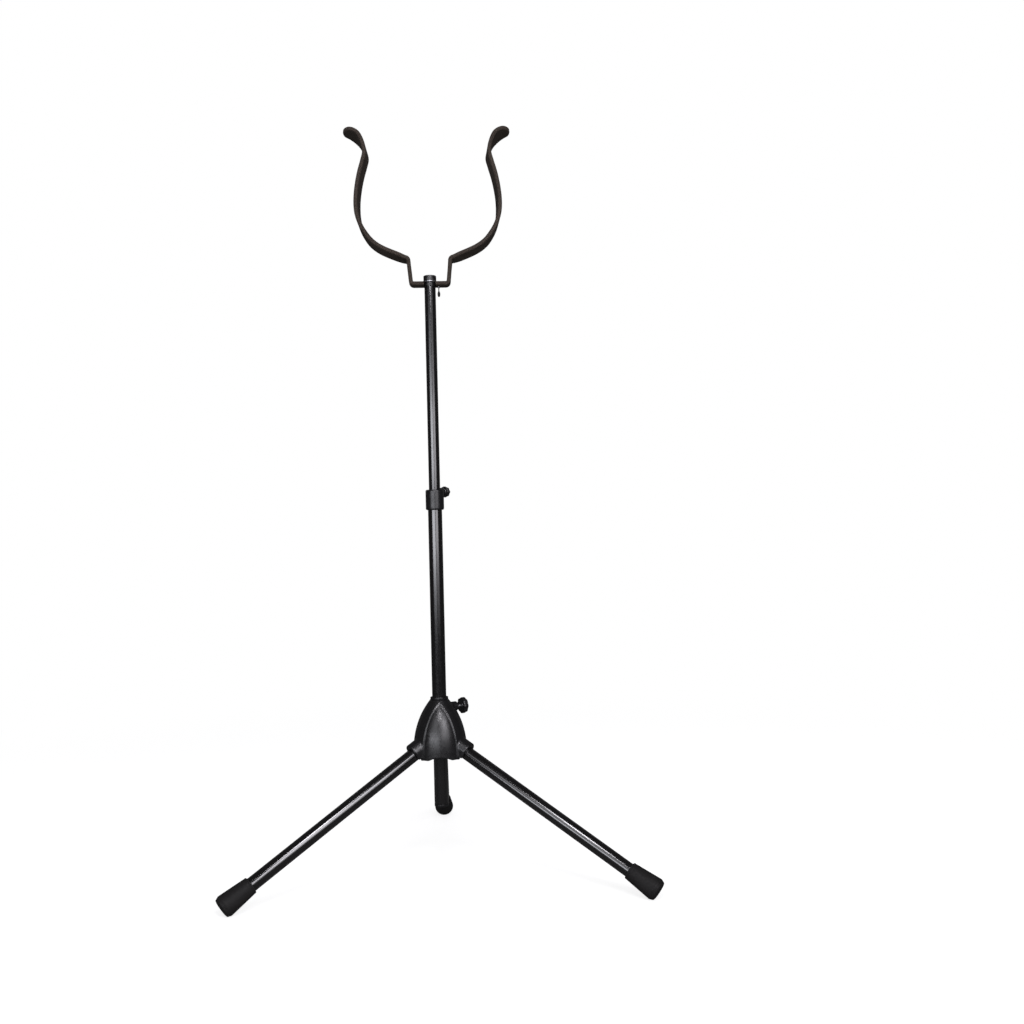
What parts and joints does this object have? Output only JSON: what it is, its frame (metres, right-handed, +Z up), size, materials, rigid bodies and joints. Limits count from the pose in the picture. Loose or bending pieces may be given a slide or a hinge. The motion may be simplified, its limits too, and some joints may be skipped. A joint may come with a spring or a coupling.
{
  "type": "violin stand",
  "caption": "Folding floor stand with a tripod base, a telescopic mast and a padded strap cradle that holds a violin upright by its lower body.",
  "frame": {"origin": "on the floor, at the middle of the stand's bounding box", "axes": "+Z up along the mast; +Y towards the rear leg; the cradle's arms spread along X, and -Y is the side where a violin's front faces"},
  "size_m": [0.5784, 0.5048, 1.0565],
  "materials": {
    "gloss_black_paint": "gloss black paint on steel tube",
    "black_plastic": "satin moulded black plastic",
    "foot_rubber": "matte black rubber",
    "sleeve_rubber": "matte dark brown-grey rubber sleeve",
    "zinc_steel": "bright zinc plate",
    "insert_brass": "turned brass",
    "tag_rubber": "soft dark rubber"
  },
  "bodies": {
    "hub": {"hub_shell": "black_plastic", "hub_top_ring": "black_plastic", "hub_insert": "insert_brass", "leg_pin_1": "zinc_steel", "leg_pin_2": "zinc_steel", "leg_pin_3": "zinc_steel"},
    "leg_1": {"leg_fitting_1": "black_plastic", "leg_tube_1": "gloss_black_paint", "foot_cap_1": "foot_rubber"},
    "leg_2": {"leg_fitting_2": "black_plastic", "leg_tube_2": "gloss_black_paint", "foot_cap_2": "foot_rubber"},
    "leg_3": {"leg_fitting_3": "black_plastic", "leg_tube_3": "gloss_black_paint", "foot_cap_3": "foot_rubber"},
    "lower_mast": {"lower_tube": "gloss_black_paint", "lower_tube_plug": "black_plastic", "height_collar": "black_plastic", "collar_insert": "insert_brass"},
    "guide": {"guide_bushing": "black_plastic"},
    "cradle": {"upper_tube": "gloss_black_paint", "strap_seat": "black_plastic", "mast_top_cap": "black_plastic", "cradle_washer": "zinc_steel", "cradle_strip": "zinc_steel", "notch_sleeve": "sleeve_rubber", "arm_sleeve_left": "sleeve_rubber", "arm_sleeve_right": "sleeve_rubber", "tag_stud": "zinc_steel"},
    "height_lock": {"height_knob": "black_plastic", "height_screw": "zinc_steel"},
    "hub_lock": {"hub_knob": "black_plastic", "hub_screw": "zinc_steel"},
    "tag": {"hanging_tag": "tag_rubber"}
  },
  "joints": [
    {"name": "leg_1_fold", "type": "hinge", "parent": "hub", "child": "leg_1", "pos_m": [0, -0.05252, 0.18046], "axis": [-1, 0, 0], "range_deg": [0, 60.4]},
    {"name": "leg_2_fold", "type": "hinge", "parent": "hub", "child": "leg_2", "pos_m": [-0.02217, -0.09092, 0.18046], "axis": [0.5, -0.866, 0], "range_deg": [0, 60.4]},
    {"name": "leg_3_fold", "type": "hinge", "parent": "hub", "child": "leg_3", "pos_m": [0.02217, -0.09092, 0.18046], "axis": [0.5, 0.866, 0], "range_deg": [0, 60.4]},
    {"name": "mast_slide", "type": "slide", "parent": "hub", "child": "lower_mast", "axis": [0, 0, 1], "range_m": [-0.08, 0.055]},
    {"name": "height_slide", "type": "slide", "parent": "lower_mast", "child": "guide", "axis": [0, 0, 1], "range_m": [-0.26, 0.12]},
    {"name": "cradle_swivel", "type": "hinge", "parent": "guide", "child": "cradle", "pos_m": [0, -0.07812, 0.4], "axis": [0, 0, 1], "continuous": true},
    {"name": "height_knob_turn", "type": "hinge", "parent": "lower_mast", "child": "height_lock", "pos_m": [0, -0.07812, 0.54], "axis": [0.4226, 0.9063, 0], "range_deg": [0, 360]},
    {"name": "hub_knob_turn", "type": "hinge", "parent": "hub", "child": "hub_lock", "pos_m": [0, -0.07812, 0.2315], "axis": [0.866, 0.5, 0], "range_deg": [0, 360]},
    {"name": "tag_swing", "type": "hinge", "parent": "cradle", "child": "tag", "pos_m": [0.0125, -0.07812, 0.8299], "axis": [0, -1, 0], "range_deg": [-5, 30]}
  ]
}
